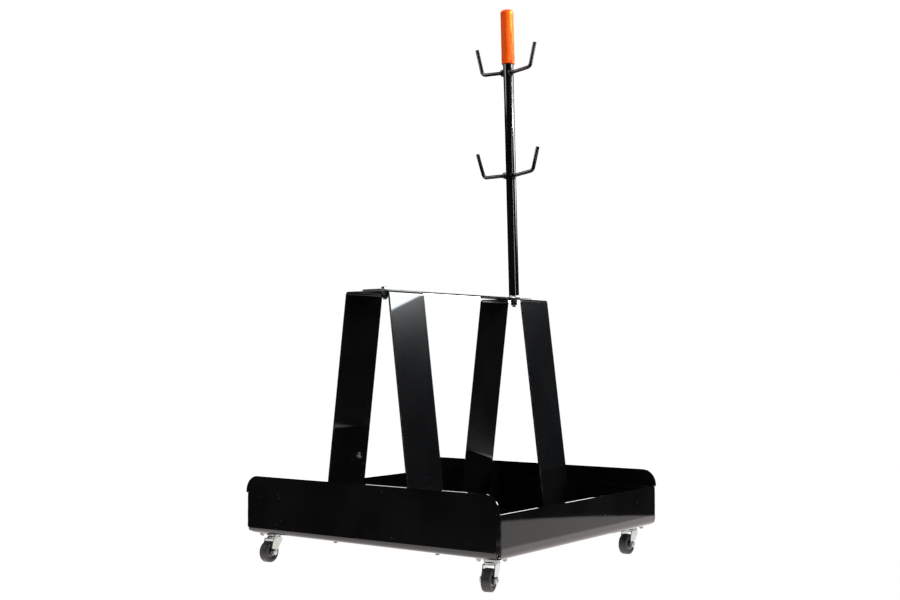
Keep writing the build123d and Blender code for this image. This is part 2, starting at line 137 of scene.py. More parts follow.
def make_speck_group():
    """Dust specks: dots around random points, kept only where a second noise is high."""
    group, into, out = new_group("dust_specks", {"Scale": 60.0, "Size": 0.12})
    cells = group.nodes.new("ShaderNodeTexVoronoi")
    patches = group.nodes.new("ShaderNodeTexNoise")
    patches.inputs["Scale"].default_value = 9.0
    dot = group.nodes.new("ShaderNodeMath")
    dot.operation = "LESS_THAN"
    keep = group.nodes.new("ShaderNodeMath")
    keep.operation = "MULTIPLY"
    group.links.new(into.outputs["Vector"], cells.inputs["Vector"])
    group.links.new(into.outputs["Scale"], cells.inputs["Scale"])
    group.links.new(into.outputs["Vector"], patches.inputs["Vector"])
    group.links.new(cells.outputs["Distance"], dot.inputs[0])
    group.links.new(into.outputs["Size"], dot.inputs[1])
    group.links.new(dot.outputs["Value"], keep.inputs[0])
    group.links.new(remap(group, patches.outputs["Fac"], 0.52, 0.66), keep.inputs[1])
    group.links.new(keep.outputs["Value"], out.inputs["Value"])
    return group


def make_grain_group():
    """Fine grain: sharp noise whose cells are a millimetre or less across."""
    group, into, out = new_group("fine_grain", {"Scale": 900.0, "Detail": 2.0})
    noise = group.nodes.new("ShaderNodeTexNoise")
    for label in ("Vector", "Scale", "Detail"):
        group.links.new(into.outputs[label], noise.inputs[label])
    group.links.new(noise.outputs["Fac"], out.inputs["Value"])
    return group


UNEVEN = make_uneven_group()
SPECKS = make_speck_group()
GRAIN = make_grain_group()
print("groups:", [group.name for group in bpy.data.node_groups])

# %% [markdown]
# ## One way to write a finish
#
# Every finish below needs the same few wires: a mask group on the object's own
# coordinates, a mix between two colours or two roughnesses, and a small bump. The class
# holds those wires, so that a finish reads as a short list of what the surface has.

# %% A small writer for finishes


class Finish:
    """A material with a Principled shader and helpers for masks, mixes and bumps."""

    def __init__(self, name, color, roughness, metallic=0.0, viewport=None):
        self.material = bpy.data.materials.new(name)
        self.material.use_nodes = True
        self.material.diffuse_color = (*(viewport or color), 1.0)
        self.tree = self.material.node_tree
        self.shader = self.tree.nodes["Principled BSDF"]
        self.shader.inputs["Base Color"].default_value = (*color, 1.0)
        self.shader.inputs["Roughness"].default_value = roughness
        self.shader.inputs["Metallic"].default_value = metallic
        self.place = self.tree.nodes.new("ShaderNodeTexCoord").outputs["Object"]

    def mask(self, group, stretch=None, **values):
        """One of the shared marks, on object coordinates, stretched if asked."""
        vector = self.place
        if stretch:
            mapping = self.tree.nodes.new("ShaderNodeMapping")
            mapping.inputs["Scale"].default_value = stretch
            self.tree.links.new(self.place, mapping.inputs["Vector"])
            vector = mapping.outputs["Vector"]
        node = self.tree.nodes.new("ShaderNodeGroup")
        node.node_tree = group
        self.tree.links.new(vector, node.inputs["Vector"])
        for label, value in values.items():
            node.inputs[label].default_value = value
        return node.outputs["Value"]

    def mix_colors(self, mask, first, second):
        """The first colour where the mask is 0 and the second where it is 1."""
        node = self.tree.nodes.new("ShaderNodeMix")
        node.data_type = "RGBA"
        self.tree.links.new(mask, node.inputs[0])
        for socket, value in ((node.inputs[6], first), (node.inputs[7], second)):
            if isinstance(value, tuple):
                socket.default_value = (*value, 1.0)
            else:
                self.tree.links.new(value, socket)
        return node.outputs[2]

    def span(self, mask, low, high):
        """The mask's 0 to 1 carried to low to high."""
        node = self.tree.nodes.new("ShaderNodeMapRange")
        node.inputs["To Min"].default_value = low
        node.inputs["To Max"].default_value = high
        self.tree.links.new(mask, node.inputs["Value"])
        return node.outputs["Result"]

    def add(self, first, second):
        """The sum of two values."""
        node = self.tree.nodes.new("ShaderNodeMath")
        self.tree.links.new(first, node.inputs[0])
        self.tree.links.new(second, node.inputs[1])
        return node.outputs["Value"]

    def bump(self, height, distance, strength=1.0, below=None):
        """A bump of that height in metres, on top of an earlier bump if given."""
        node = self.tree.nodes.new("ShaderNodeBump")
        node.inputs["Distance"].default_value = distance
        node.inputs["Strength"].default_value = strength
        self.tree.links.new(height, node.inputs["Height"])
        if below is not None:
            self.tree.links.new(below, node.inputs["Normal"])
        return node.outputs["Normal"]

    def wire(self, **sockets):
        """Connects values to the shader, with _ for the space in a socket's name."""
        for label, value in sockets.items():
            self.tree.links.new(value, self.shader.inputs[label.replace("_", " ")])
        return self.material


# %% [markdown]
# ## Gloss black powder paint
#
# The paint is poured on as powder and melted, so it is a thick, dark, glassy skin. Its
# base is nearly black, and almost all that is seen of it is what it reflects. On the
# tray and strips, three things keep it from looking like a mirror: a very shallow, slow
# waviness left by the melting, smudges that dull the gloss, and a few pale specks of
# dust. The strips also have a veil: a rougher layer under a smooth coat, which spreads
# a soft haze beside each sharp reflection. The pole and hooks are the plainest.

# %% Powder paint


def powder_paint(name, gloss, dust, wave, haze=0.0, peel=0.0):
    """Black paint with a roughness, pale dust, slow waves, a veil of haze and orange peel."""
    finish = Finish(name, (0.0035, 0.0035, 0.0038), gloss)
    smudge = finish.mask(UNEVEN, Scale=6.0, Detail=6.0)
    speck = finish.mask(SPECKS, Scale=55.0, Size=0.1)
    scratch = finish.mask(SPECKS, stretch=(1.0, 1.0, 0.12), Scale=120.0, Size=0.06)
    film = finish.mix_colors(smudge, (0.0025, 0.0025, 0.0027), (0.0055, 0.0056, 0.006))
    dusty = finish.mix_colors(finish.span(speck, 0.0, dust), film, (0.30, 0.29, 0.27))
    marked = finish.mix_colors(finish.span(scratch, 0.0, dust * 0.5), dusty, (0.2, 0.2, 0.2))
    waves = finish.bump(finish.mask(UNEVEN, Scale=22.0, Detail=1.0), 0.0006 * wave)
    skin = finish.bump(finish.mask(GRAIN, Scale=420.0, Detail=1.0), peel, below=waves)
    finish.shader.inputs["IOR"].default_value = 1.52
    if haze:
        finish.shader.inputs["Coat Weight"].default_value = 1.0
        finish.shader.inputs["Coat Roughness"].default_value = gloss
        finish.shader.inputs["Specular IOR Level"].default_value = haze
        rough = finish.span(smudge, 0.22, 0.24)
    else:
        rough = finish.add(finish.span(smudge, gloss, gloss + 0.02), finish.span(speck, 0.0, 0.3))
    return finish.wire(Base_Color=marked, Roughness=rough, Normal=skin)


TRAY_PAINT = powder_paint("tray_powder_paint", 0.02, 0.05, 0.02, peel=0.000003)
STRIP_PAINT = powder_paint("strip_powder_paint", 0.03, 0.12, 0.02, haze=0.14, peel=0.000003)
TUBE_PAINT = powder_paint("tube_powder_paint", 0.08, 0.0, 0.0)
WELD_PAINT = powder_paint("weld_powder_paint", 0.10, 0.03, 0.0)


# The foot weld's bright metal colour is painted glare: it stands in for light reflected by black paint.
def weld_with_painted_glare():
    """A bright metal colour on the black-painted weld as a painted reflection of the light, with darker,
    duller patches at random.
    """
    finish = Finish("ground_bright_weld", (0.62, 0.62, 0.60), 0.3, metallic=1.0)
    patch = finish.mask(UNEVEN, Scale=90.0, Detail=4.0)
    grain = finish.mask(GRAIN, Scale=600.0)
    tone = finish.mix_colors(patch, (0.68, 0.70, 0.72), (0.45, 0.44, 0.42))
    return finish.wire(
        Base_Color=tone, Roughness=finish.span(patch, 0.22, 0.45), Normal=finish.bump(grain, 0.00006)
    )


WELD_PAINTED_GLARE = weld_with_painted_glare()

# %% [markdown]
# ## Zinc plate
#
# The casters and fasteners are steel under bright zinc. It is a metal, so its colour
# is its reflection: mid grey with a little blue, yellower in patches where the
# passivation is thicker, with small brown stains and a fine grain along one direction.

# %% Zinc plate


def zinc_plate(name, tint, rough):
    """Bright zinc with yellowish patches of the given strength."""
    finish = Finish(name, (0.38, 0.40, 0.41), rough, metallic=1.0)
    patch = finish.mask(UNEVEN, Scale=60.0, Detail=4.0)
    grain = finish.mask(GRAIN, stretch=(1.0, 1.0, 6.0), Scale=500.0)
    tone = finish.mix_colors(finish.span(patch, 0.0, tint), (0.36, 0.40, 0.42), (0.36, 0.31, 0.20))
    stain = finish.mask(SPECKS, Scale=240.0, Size=0.2)
    tone = finish.mix_colors(finish.span(stain, 0.0, 0.7), tone, (0.12, 0.09, 0.06))
    rough_value = finish.add(finish.span(grain, rough, rough + 0.12), finish.span(stain, 0.0, 0.3))
    return finish.wire(Base_Color=tone, Roughness=rough_value, Normal=finish.bump(grain, 0.00002))


CASTER_ZINC = zinc_plate("caster_zinc_plate", 0.45, 0.16)
BOLT_ZINC = zinc_plate("bolt_zinc_plate", 0.15, 0.2)
BALL_STEEL = zinc_plate("ball_bearing_steel", 0.05, 0.08)

# %% [markdown]
# ## Orange grip, rubber and wheel core
#
# The grip is soft vinyl: strongly coloured, half glossy, and a little see-through to
# light, which a small amount of subsurface scattering gives. The tyre is dark rubber
# with a grey bloom and dust on its tread, and the core is hard black plastic.

# %% Vinyl, rubber and plastic


def orange_vinyl():
    """Soft orange vinyl with slightly deeper colour in slow patches."""
    finish = Finish("orange_vinyl", (1.0, 0.10, 0.002), 0.5)
    patch = finish.mask(UNEVEN, Scale=40.0, Detail=3.0)
    tone = finish.mix_colors(patch, (1.0, 0.12, 0.002), (1.0, 0.095, 0.002))
    grain = finish.mask(GRAIN, Scale=1400.0)
    finish.shader.inputs["Specular IOR Level"].default_value = 0.12
    finish.shader.inputs["Subsurface Weight"].default_value = 0.12
    finish.shader.inputs["Subsurface Radius"].default_value = (0.004, 0.0015, 0.0005)
    rough = finish.span(patch, 0.46, 0.55)
    return finish.wire(Base_Color=tone, Roughness=rough, Normal=finish.bump(grain, 0.00002))


def tyre_rubber():
    """Black rubber with a grey bloom and pale dust."""
    finish = Finish("tyre_rubber", (0.02, 0.02, 0.02), 0.6)
    bloom = finish.mask(UNEVEN, Scale=70.0, Detail=6.0)
    dust = finish.mask(SPECKS, Scale=300.0, Size=0.16)
    tone = finish.mix_colors(bloom, (0.006, 0.006, 0.0065), (0.02, 0.02, 0.02))
    tone = finish.mix_colors(finish.span(dust, 0.0, 0.3), tone, (0.14, 0.13, 0.12))
    grain = finish.mask(GRAIN, Scale=900.0)
    rough = finish.span(bloom, 0.45, 0.7)
    return finish.wire(Base_Color=tone, Roughness=rough, Normal=finish.bump(grain, 0.0001))


def core_plastic():
    """Hard moulded plastic, darker and smoother than the tyre."""
    finish = Finish("core_plastic", (0.012, 0.012, 0.013), 0.3)
    patch = finish.mask(UNEVEN, Scale=90.0, Detail=3.0)
    tone = finish.mix_colors(patch, (0.010, 0.010, 0.011), (0.022, 0.022, 0.022))
    grain = finish.mask(GRAIN, Scale=700.0)
    rough = finish.span(patch, 0.25, 0.4)
    return finish.wire(Base_Color=tone, Roughness=rough, Normal=finish.bump(grain, 0.00004))


GRIP_VINYL = orange_vinyl()
TYRE_RUBBER = tyre_rubber()
CORE_PLASTIC = core_plastic()
print("finishes:", [material.name for material in bpy.data.materials])

# %% [markdown]
# ## From arrays to a piece
#
# A surface here is a grid of points: a numpy array with one axis along the piece and
# one across it. Its quads follow from the grid alone. Several grids can make one piece,
# and points that fall on each other are merged, which closes seams and poles.

# %% Grids, caps and pieces


def grid_quads(rows, columns, wrap_rows=False, wrap_columns=False):
    """Each grid point with its neighbours ahead, across and beside it, as one quad."""
    row = np.arange(rows if wrap_rows else rows - 1)
    column = np.arange(columns if wrap_columns else columns - 1)
    row, column = np.meshgrid(row, column, indexing="ij")
    ahead = (row + 1) % rows * columns
    beside = (column + 1) % columns
    here = row * columns
    corners = (here + column, ahead + column, ahead + beside, here + beside)
    return np.stack(corners, -1).reshape(-1, 4)


def sheet_of(points, wrap_rows=False, wrap_columns=False):
    """A grid of points with its quads, ready to join to others."""
    rows, columns = points.shape[:2]
    return points.reshape(-1, 3), grid_quads(rows, columns, wrap_rows, wrap_columns).tolist()


def capped(points):
    """A tube of closed rings with a flat face on each end."""
    flat, faces = sheet_of(points, wrap_columns=True)
    rows, columns = points.shape[:2]
    first = list(range(columns))
    last = [(rows - 1) * columns + index for index in first]
    return flat, faces + [first, last[::-1]]


def join_sheets(sheets):
    """All the points in one array, and every sheet's faces counted on from the last."""
    points = np.concatenate([flat for flat, _ in sheets])
    starts = np.cumsum([0] + [len(flat) for flat, _ in sheets])
    faces = [[start + corner for corner in face] for (_, part), start in zip(sheets, starts) for face in part]
    return points, faces


def tidy_mesh(mesh, merge, smooth):
    """Merges points that meet, turns faces outwards and keeps edges over the angle sharp."""
    shape = bmesh.new()
    shape.from_mesh(mesh)
    bmesh.ops.remove_doubles(shape, verts=shape.verts, dist=merge)
    bmesh.ops.dissolve_degenerate(shape, edges=shape.edges, dist=merge)
    bmesh.ops.recalc_face_normals(shape, faces=shape.faces)
    shape.to_mesh(mesh)
    shape.free()
    mesh.shade_smooth()
    mesh.set_sharp_from_angle(angle=math.radians(smooth))


def add_piece(name, mesh, material, body, nodes):
    """Puts the mesh in the scene as a piece that rides on a body and stands for nodes."""
    mesh.materials.clear()
    mesh.materials.append(material)
    piece = bpy.data.objects.new(name, mesh)
    bpy.context.scene.collection.objects.link(piece)
    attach(piece, body)
    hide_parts(*nodes)
    return piece


def piece_from(name, sheets, material, nodes, body=STAND, smooth=35, merge=0.00001):
    """One piece from a list of sheets."""
    points, faces = join_sheets(sheets)
    mesh = bpy.data.meshes.new(name)
    mesh.from_pydata(points.tolist(), [], faces)
    tidy_mesh(mesh, merge, smooth)
    print(f"{name}: {len(mesh.vertices)} points, {len(mesh.polygons)} faces")
    return add_piece(name, mesh, material, body, nodes)


def soften(piece, width, segments=3, angle=50):
    """A small round on every edge over the angle, with flat faces kept flat."""
    bevel = piece.modifiers.new("rounded_rims", "BEVEL")
    bevel.width = width
    bevel.segments = segments
    bevel.limit_method = "ANGLE"
    bevel.angle_limit = math.radians(angle)
    bevel.miter_outer = "MITER_ARC"
    even = piece.modifiers.new("flat_faces", "WEIGHTED_NORMAL")
    even.keep_sharp = True
    return piece


# %% [markdown]
# ## Profiles and paths
#
# Most of the stand is a profile carried along a path: a flat bar is a rounded rectangle
# carried along a bent line, and a rod is a circle. A path's corner becomes an arc of the
# bend's radius. On a strip, short extra stations beside each bend keep its long flats
# truly flat, so that their reflections don't swim.

# %% Profiles, bent paths and turned shapes


def unit(vectors):
    """Vectors scaled to length one along their last axis."""
    return vectors / np.linalg.norm(vectors, axis=-1, keepdims=True)


def corner_arc(before, corner, after, radius, steps):
    """Points on the circle that touches both runs beside a corner."""
    back, ahead = unit(before - corner), unit(after - corner)
    half = math.acos(float(np.clip(back @ ahead, -1.0, 1.0))) / 2
    centre = corner + unit(back + ahead) * radius / math.sin(half)
    start = corner + back * radius / math.tan(half) - centre
    end = corner + ahead * radius / math.tan(half) - centre
    turn = math.pi - 2 * half
    share = np.linspace(0.0, 1.0, steps + 1)[:, None]
    arc = (np.sin((1 - share) * turn) * start + np.sin(share * turn) * end) / math.sin(turn)
    return centre + arc


def bent_path(corners, radius, steps=8, margin=0.0015):
    """A line through corners with round bends and a short station beside each bend."""
    corners = np.asarray(corners, float)
    stations = [corners[:1]]
    for before, corner, after in zip(corners, corners[1:], corners[2:]):
        arc = corner_arc(before, corner, after, radius, steps)
        lead = arc[:1] + unit(before - corner) * margin
        trail = arc[-1:] + unit(after - corner) * margin
        stations += [lead, arc, trail]
    return np.concatenate(stations + [corners[-1:]])


def path_directions(path):
    """The direction at each station: the mean of the runs before and after it."""
    runs = unit(np.diff(path, axis=0))
    ahead = np.concatenate([runs, runs[-1:]])
    behind = np.concatenate([runs[:1], runs])
    return unit(ahead + behind)


def carried(profile, path, side, scale=None):
    """A closed profile at every station: its first axis along side, its second across."""
    side = np.asarray(side, float)
    normal = np.cross(path_directions(path), side)
    scale = np.ones((len(path), 2)) if scale is None else scale
    across = profile[None, :, :1] * scale[:, None, :1] * side
    over = profile[None, :, 1:] * scale[:, None, 1:] * normal[:, None, :]
    return path[:, None, :] + across + over


def circle(radius, steps=32):
    """A circle of points."""
    angle = np.linspace(0.0, 2 * np.pi, steps, endpoint=False)
    return radius * np.stack([np.cos(angle), np.sin(angle)], -1)


def rounded_bar(width, thick, radius, steps=4, margin=0.0012):
    """A rectangle with round corners and extra points that keep its flats flat."""
    angle = np.linspace(0.0, np.pi / 2, steps + 1)
    arc = np.stack([np.cos(angle), np.sin(angle)], -1) * radius
    parts = []
    for turn, sx, sy in ((0, 1, 1), (1, -1, 1), (2, -1, -1), (3, 1, -1)):
        cosine, sine = round(math.cos(turn * math.pi / 2)), round(math.sin(turn * math.pi / 2))
        spun = arc @ np.array([[cosine, sine], [-sine, cosine]])
        corner = spun + np.array([sx * (width / 2 - radius), sy * (thick / 2 - radius)])
        flat = np.array([sx * (width / 2 - radius - margin), sy * thick / 2])
        parts.append(np.vstack([corner, flat]) if sx * sy > 0 else np.vstack([flat, corner]))
    return np.concatenate(parts)


def turned(radii, heights, steps=48, start=0.0):
    """A profile of radii and heights spun about +Z."""
    angle = np.linspace(0.0, 2 * np.pi, steps, endpoint=False) + start
    radii, heights = np.asarray(radii, float), np.asarray(heights, float)
    ring = np.stack([np.cos(angle), np.sin(angle)], -1)
    flat = radii[:, None, None] * ring[None]
    tall = np.broadcast_to(heights[:, None, None], (len(radii), steps, 1))
    return np.concatenate([flat, tall], -1)


def moved(points, place):
    """The same points shifted to a place."""
    return points + np.asarray(place, float)


def quarter(centre_r, centre_z, radius, start, end, steps=6):
    """Radii and heights on an arc between two angles, in degrees from straight out."""
    angle = np.radians(np.linspace(start, end, steps + 1))
    return centre_r + radius * np.cos(angle), centre_z + radius * np.sin(angle)


# %% [markdown]
# ## The tray
#
# The tray is one sheet of 3 mm steel with its four sides folded up. So it is made
# the same way here: a single thin sheet in the middle of the metal, shaped like a cross
# with its arms folded, and given its thickness afterwards by a Solidify modifier. Each
# arm is a function of two parameters, the place along the wall and the distance up its
# profile. The tall walls end in large round corners, and near the floor every arm is cut
# back along a circle, which is the relief hole a press operator drills in each corner.

# %% Tray sizes
TRAY_LOW, TRAY_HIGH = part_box("tray")
SHEET = 3 * MM
FOLD_R = 14 * MM
TALL_TOP = TRAY_HIGH.z
LOW_TOP = 166 * MM
TALL_CORNER_R = 37.5 * MM
CORNER_R = 8 * MM
RELIEF_R = 7.5 * MM
RELIEF_INSET = 12 * MM
HALF_X, HALF_Y = TRAY_HIGH.x, TRAY_HIGH.y
FOLD_TOP = TRAY_LOW.z + FOLD_R
FLOOR_TOP = TRAY_LOW.z + SHEET
MIDDLE_R = FOLD_R - SHEET / 2

# %% Fold the sheet


def fold_profile(reach):
    """From the floor's edge round the fold to the wall: distance out, and height."""
    angle = np.radians(np.linspace(0.0, 90.0, 13))
    out = reach - FOLD_R + MIDDLE_R * np.sin(angle)
    up = FOLD_TOP - MIDDLE_R * np.cos(angle)
    flat = np.array([[reach - FOLD_R - 4 * MM, TRAY_LOW.z + SHEET / 2]])
    wall = np.array([[reach - SHEET / 2, FOLD_TOP + 2 * MM]])
    return np.concatenate([flat, np.stack([out, up], -1), wall])


def relief_end(out, reach, half):
    """Half the arm's length at a distance out: full, less the relief circle's bite."""
    depth = RELIEF_R**2 - (out - (reach - RELIEF_INSET)) ** 2
    bite = np.sqrt(np.clip(depth, 0.0, None))
    cut = half - RELIEF_INSET - bite
    return np.where(depth > 0, np.minimum(cut, half - CORNER_R), half - CORNER_R)


def wall_columns(half, flat_half, steps=48):
    """Places along a wall: even on its straight part, closer where its corners round."""
    arc = np.sin(np.radians(np.linspace(0.0, 90.0, 15)[1:]))
    end = flat_half + (half - flat_half) * arc
    inner = half - CORNER_R
    end = np.sort(np.append(end[np.abs(end - inner) > 0.8 * MM], inner))
    straight = np.linspace(-flat_half, flat_half, steps + 1)
    return np.concatenate([-end[::-1], straight, end])


def folded_arm(reach, half, columns, top):
    """Floor edge, fold and wall up to top, over the wall's full columns."""
    share = columns / (half - CORNER_R)
    profile = fold_profile(reach)
    profile = np.vstack([profile, [reach - SHEET / 2, top]])
    length = relief_end(profile[:, 0], reach, half)
    along = share[None, :] * length[:, None]
    out = np.broadcast_to(profile[:, :1], along.shape)
    up = np.broadcast_to(profile[:, 1:], along.shape)
    return np.stack([along, -out, up], -1)


def rounded_top(columns, half):
    """The tall wall's height at each column: level, then down a quarter circle."""
    past = np.clip(np.abs(columns) - (half - TALL_CORNER_R), 0.0, TALL_CORNER_R)
    return TALL_TOP - TALL_CORNER_R + np.sqrt(TALL_CORNER_R**2 - past**2)


def upper_wall(columns, half, reach):
    """The part of a tall wall that stands above the low walls, with its round corners."""
    share = np.linspace(0.0, 1.0, 9)[:, None]
    up = LOW_TOP + (rounded_top(columns, half) - LOW_TOP)[None, :] * share
    along = np.broadcast_to(columns, up.shape)
    out = np.full(up.shape, reach - SHEET / 2)
    return np.stack([along, -out, up], -1)


def turned_about(points, quarters):
    """Points turned about +Z by whole quarter turns."""
    x, y, z = points[..., 0], points[..., 1], points[..., 2]
    for _ in range(quarters):
        x, y = -y, x
    return np.stack([x, y, z], -1)


def tray_sheets():
    """The floor and the four arms of the cross."""
    wide = wall_columns(HALF_X, HALF_X - TALL_CORNER_R)
    narrow = np.linspace(-(HALF_Y - CORNER_R), HALF_Y - CORNER_R, 49)
    inner = wide[np.abs(wide) <= HALF_X - CORNER_R + 0.01 * MM]
    tall = folded_arm(HALF_Y, HALF_X, inner, LOW_TOP)
    crown = upper_wall(wide, HALF_X, HALF_Y)
    low = folded_arm(HALF_X, HALF_Y, narrow, LOW_TOP)
    edge_x = tall[0, :, 0]
    edge_y = low[0, :, 0]
    x, y = np.meshgrid(edge_x, edge_y, indexing="ij")
    floor = np.stack([x, y, np.full_like(x, TRAY_LOW.z + SHEET / 2)], -1)
    sheets = [sheet_of(floor)]
    sheets += [sheet_of(turned_about(arm, turn)) for arm in (tall, crown) for turn in (0, 2)]
    sheets += [sheet_of(turned_about(low, turn)) for turn in (1, 3)]
    return sheets


tray = piece_from("tray_sheet", tray_sheets(), TRAY_PAINT, ["tray"], merge=0.0001)
thickness = tray.modifiers.new("sheet_thickness", "SOLIDIFY")
thickness.thickness = SHEET
thickness.offset = 0.0
soften(tray, 0.9 * MM)

# %% [markdown]
# ## The tray's corner welds
#
# Where two walls meet, the open corner is welded from top to bottom and ground round.
# Each weld is a quarter ring carried straight up. Grinding never takes all the ripple
# away, so the outer radius dips a little at every puddle of the weld.

# %% Ground corner welds


def corner_weld(quarters):
    """A quarter ring from the fold to the low wall's rim, its outside faintly rippled."""
    up = np.linspace(FOLD_TOP, LOW_TOP - 0.3 * MM, 90)
    angle = np.radians(np.linspace(0.0, 90.0, 13))
    outer = np.stack([np.cos(angle), np.sin(angle)], -1)
    ripple = 0.09 * MM * (1 - np.cos(2 * np.pi * up / (2.6 * MM)))
    slow = 0.12 * MM * (1 + np.sin(2 * np.pi * up / (31 * MM)))
    radius = CORNER_R - ripple - slow
    face = radius[:, None, None] * outer[None]
    back = np.broadcast_to((CORNER_R - SHEET) * outer[::-1], face.shape)
    flat = np.concatenate([face, back], 1)
    flat = flat + np.array([HALF_X - CORNER_R, HALF_Y - CORNER_R])
    tall = np.broadcast_to(up[:, None, None], (*flat.shape[:2], 1))
    ring = np.concatenate([flat, tall], -1)
    mirror = np.array([1.0 if quarters in (0, 3) else -1.0, 1.0 if quarters < 2 else -1.0, 1.0])
    return capped(ring * mirror)


welds = [corner_weld(quarters) for quarters in range(4)]
piece_from("corner_weld_beads", welds, WELD_PAINT, ["corner_welds"])

# %% [markdown]
# ## Leg frames and the flat bar
#
# A leg frame is one length of flat strip, 128 mm wide, bent four times. Its path runs
# through the middle of the metal, foot to foot, and a rounded rectangle is carried
# along it. Rolled strip has soft rims rather than square ones, so the rectangle's
# corners are round, and its two cut ends are eased in the same way.

# %% Strip sizes
NEAR_LOW, NEAR_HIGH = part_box("leg_frame_near")
FAR_LOW, FAR_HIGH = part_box("leg_frame_far")
STRIP = 4 * MM
STRIP_WIDTH = NEAR_HIGH.y - NEAR_LOW.y
FRAME_Y = {"near": (NEAR_LOW.y + NEAR_HIGH.y) / 2, "far": (FAR_LOW.y + FAR_HIGH.y) / 2}
FRAME_TOP = NEAR_HIGH.z
FOOT_HALF = NEAR_HIGH.x
TOP_HALF = 63.7 * MM
SPREAD_HALF = 135.6 * MM
STRIP_MIDDLE_R = 6 * MM
RIM_R = 1.1 * MM

# %% Bend the strips


def eased(path, width, thick, width_r, thick_r, steps=5):
    """Stations near both ends where the profile shrinks along a quarter circle."""
    angle = np.radians(np.linspace(0.0, 90.0, steps + 1))
    reach = (1 - np.cos(angle))[:, None] * max(width_r, thick_r)
    inset = (1 - np.sin(angle))[:, None] * np.array([2 * width_r / width, 2 * thick_r / thick])
    head = path[0] + reach * unit(path[1] - path[0])
    tail = path[-1] + reach * unit(path[-2] - path[-1])
    stations = np.concatenate([head, path[1:-1], tail[::-1]])
    sizes = np.concatenate([1 - inset, np.ones((len(path) - 2, 2)), 1 - inset[::-1]])
    return stations, sizes


def leg_x(z):
    """Half the spread of a leg frame's outer faces at a height."""
    share = (FRAME_TOP - z) / (FRAME_TOP - TRAY_LOW.z)
    return TOP_HALF + (SPREAD_HALF - TOP_HALF) * share


def leg_path(y):
    """The strip's middle line: foot, ankle, shoulder, and the same on the other side."""
    lean = math.atan2(SPREAD_HALF - TOP_HALF, FRAME_TOP - TRAY_LOW.z)
    inward = STRIP / 2 / math.cos(lean)
    foot_z, top_z = FLOOR_TOP + STRIP / 2, FRAME_TOP - STRIP / 2
    half = [(FOOT_HALF, foot_z), (leg_x(foot_z) - inward, foot_z), (leg_x(top_z) - inward, top_z)]
    corners = [(x, y, z) for x, z in half] + [(-x, y, z) for x, z in reversed(half)]
    return bent_path(corners, STRIP_MIDDLE_R, steps=10)


def strip_frame(y):
    """The flat strip carried along its path, with soft rims and eased ends."""
    path, sizes = eased(leg_path(y), STRIP_WIDTH, STRIP, RIM_R, RIM_R)
    profile = rounded_bar(STRIP_WIDTH, STRIP, RIM_R)
    return capped(carried(profile, path, (0, 1, 0), sizes))


for name, y in FRAME_Y.items():
    node = f"leg_frame_{name}"
    piece_from(f"bent_strip_{name}", [strip_frame(y)], STRIP_PAINT, [node])

# %% [markdown]
# The bar is the same idea without a bend. Its corners are cut with a larger radius in
# plan than the soft rim of the strip, so the two insets at its ends differ.

# %% The flat bar
BAR_LOW, BAR_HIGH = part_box("top_bar")
BAR_CORNER_R = 3 * MM


def flat_bar():
    """A rounded rectangle carried straight along Y."""
    width, thick = BAR_HIGH.x - BAR_LOW.x, BAR_HIGH.z - BAR_LOW.z
    middle = (BAR_LOW.x + BAR_HIGH.x) / 2, (BAR_LOW.z + BAR_HIGH.z) / 2
    ends = np.array([[middle[0], y, middle[1]] for y in np.linspace(BAR_LOW.y, BAR_HIGH.y, 12)])
    path, sizes = eased(ends, width, thick, BAR_CORNER_R, RIM_R)
    return capped(carried(rounded_bar(width, thick, RIM_R), path, (1, 0, 0), sizes))


piece_from("flat_bar", [flat_bar()], STRIP_PAINT, ["top_bar"])

# %% [markdown]
# ## Bolts, nuts, washers and screws
#
# A hexagon is a radius that depends on the angle: the flat's distance divided by the
# cosine of the angle from the middle of that flat. The chamfer on a bolt's head is a
# cone, so the real surface is whichever of the two radii is smaller. A thread is also
# a radius: it rises and falls once for each pitch along the shank, and starts one pitch
# later for each turn round it.

# %% Fastener surfaces
M10 = {"radius": 5 * MM, "across": 16 * MM, "pitch": 1.5 * MM, "washer": 10 * MM}
M6 = {"radius": 3 * MM, "across": 10 * MM, "pitch": 1.0 * MM, "washer": 6 * MM}
AXLE = {"radius": 4 * MM, "across": 13 * MM, "pitch": 1.25 * MM, "washer": 8 * MM}
WASHER = 2 * MM


def hexagon(across, low, high, bore=0.0, steps=72, turn=0.0):
    """A hexagon cut by a cone at both ends, closed on the axis or down to a bore."""
    angle = np.linspace(0.0, 2 * np.pi, steps, endpoint=False)
    from_flat = (angle + turn) % (np.pi / 3) - np.pi / 6
    flat = across / 2 / np.cos(from_flat)
    depth = across * np.array([0.0, 0.012, 0.03, 0.05, 0.08])
    height = np.concatenate([low + depth, high - depth[::-1]])
    end = np.minimum(height - low, high - height)
    cone = across * 0.475 + end * math.tan(math.radians(62))
    radius = np.minimum(flat[None, :], cone[:, None])
    inner = np.full((1, steps), bore)
    radius = np.concatenate([inner, radius, inner])
    height = np.concatenate([[low], height, [high]])
    return sheet_of(spun_radii(radius, height, angle), wrap_rows=bore > 0, wrap_columns=True)


def spun_radii(radius, height, angle):
    """Points from a radius for every height and angle."""
    tall = np.broadcast_to(height[:, None], radius.shape)
    return np.stack([radius * np.cos(angle), radius * np.sin(angle), tall], -1)


